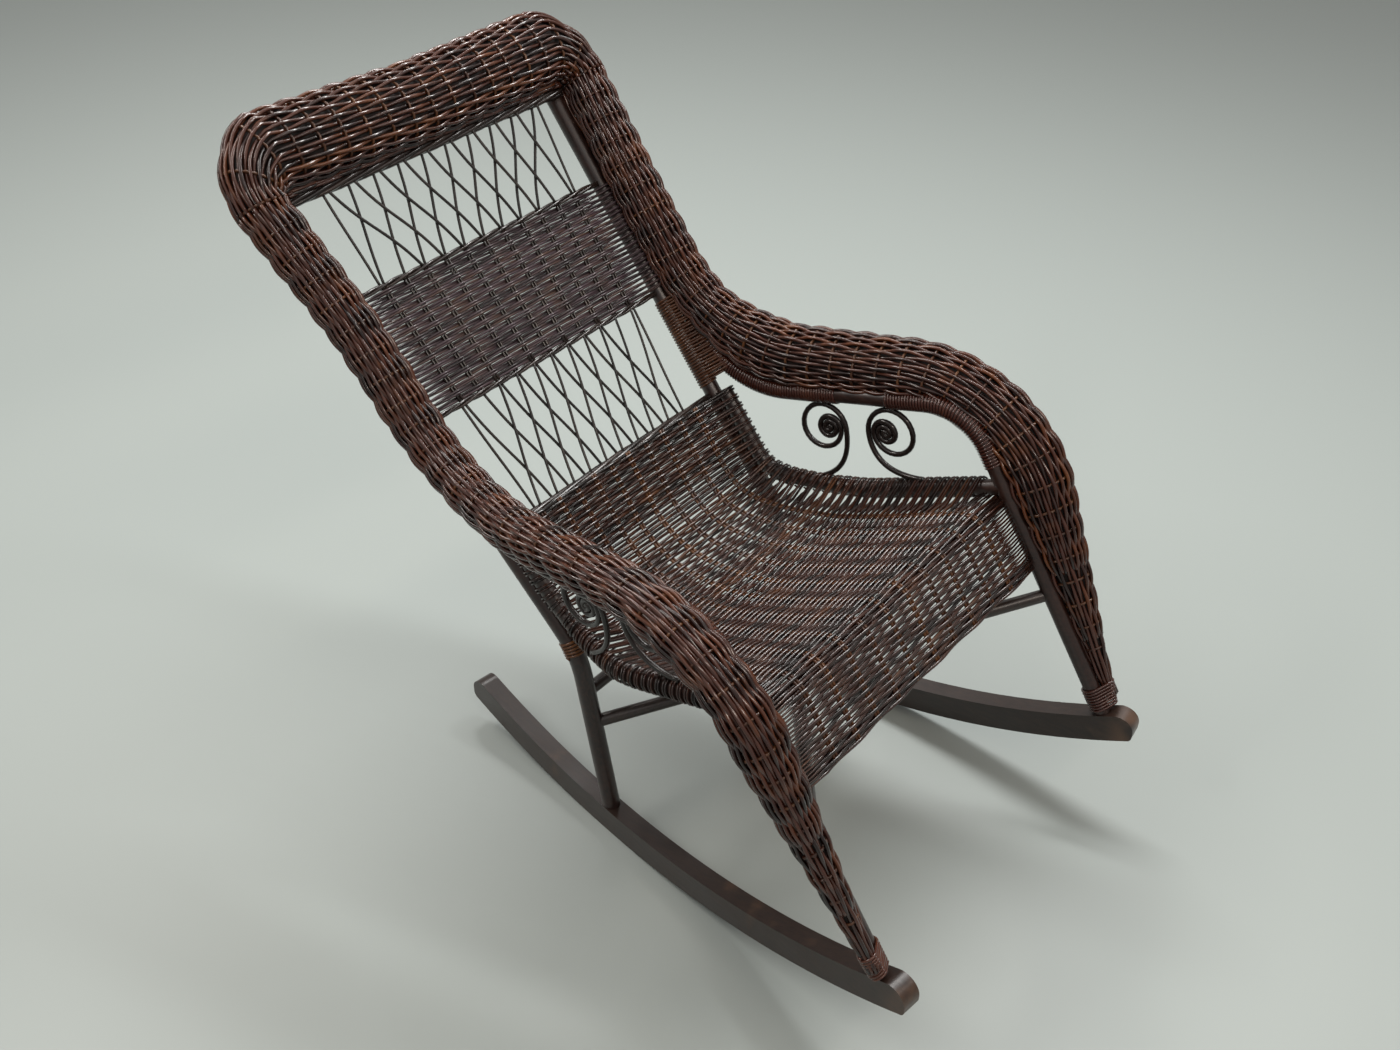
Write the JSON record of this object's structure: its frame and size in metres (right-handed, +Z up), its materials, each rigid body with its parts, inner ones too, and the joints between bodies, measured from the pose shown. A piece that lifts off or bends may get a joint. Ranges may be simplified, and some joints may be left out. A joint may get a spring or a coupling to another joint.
{
  "type": "wicker rocking chair",
  "caption": "Wicker rocking chair with a reclined back, hollow woven edge roll over crest, arms and legs, open reed lattice, scooped woven seat, arm scrolls and curved wooden runners.",
  "frame": {"origin": "on the floor, under the middle of the chair's box", "axes": "+Z up, front towards -Y, +X to the sitter's left"},
  "size_m": [0.724, 1.1481, 0.9423],
  "materials": {
    "frame_wood": "satin",
    "runner_wood": "satin",
    "roll_weave": "satin",
    "seat_weave": "satin",
    "band_weave": "satin",
    "lattice_reed": "satin",
    "scroll_reed": "satin",
    "wound_cane": "satin",
    "steel": "satin"
  },
  "bodies": {
    "root": {"apron_rail": "frame_wood", "arm_bow_left": "frame_wood", "arm_bow_right": "frame_wood", "arm_roll_left": "roll_weave", "arm_roll_right": "roll_weave", "arm_wrap_front_left": "wound_cane", "arm_wrap_front_right": "wound_cane", "arm_wrap_rear_left": "wound_cane", "arm_wrap_rear_right": "wound_cane", "back_band": "band_weave", "back_post_left": "frame_wood", "back_post_right": "frame_wood", "back_roll_left": "roll_weave", "back_roll_right": "roll_weave", "band_bottom_rail": "frame_wood", "band_top_rail": "frame_wood", "crest_corner_left": "roll_weave", "crest_corner_right": "roll_weave", "crest_rail": "frame_wood", "crest_roll": "roll_weave", "diagonal_stretcher_left": "frame_wood", "diagonal_stretcher_right": "frame_wood", "elbow_roll_left": "roll_weave", "elbow_roll_right": "roll_weave", "foot_binding_left": "wound_cane", "foot_binding_right": "wound_cane", "knee_roll_left": "roll_weave", "knee_roll_right": "roll_weave", "lattice_lower": "lattice_reed", "lattice_upper": "lattice_reed", "leg_roll_left": "roll_weave", "leg_roll_right": "roll_weave", "post_binding_left": "wound_cane", "post_binding_right": "wound_cane", "post_wrap_left": "wound_cane", "post_wrap_right": "wound_cane", "rear_stretcher": "frame_wood", "rocker_left": "runner_wood", "rocker_right": "runner_wood", "scroll_front_left": "scroll_reed", "scroll_front_right": "scroll_reed", "scroll_rear_left": "scroll_reed", "scroll_rear_right": "scroll_reed", "seat_apron": "seat_weave", "seat_back_rail": "frame_wood", "seat_back_weave": "seat_weave", "seat_front_rail": "frame_wood", "seat_lip": "seat_weave", "seat_side_rail_left": "frame_wood", "seat_side_rail_right": "frame_wood", "seat_weave": "seat_weave", "stretcher_screw": "steel"}
  },
  "joints": []
}
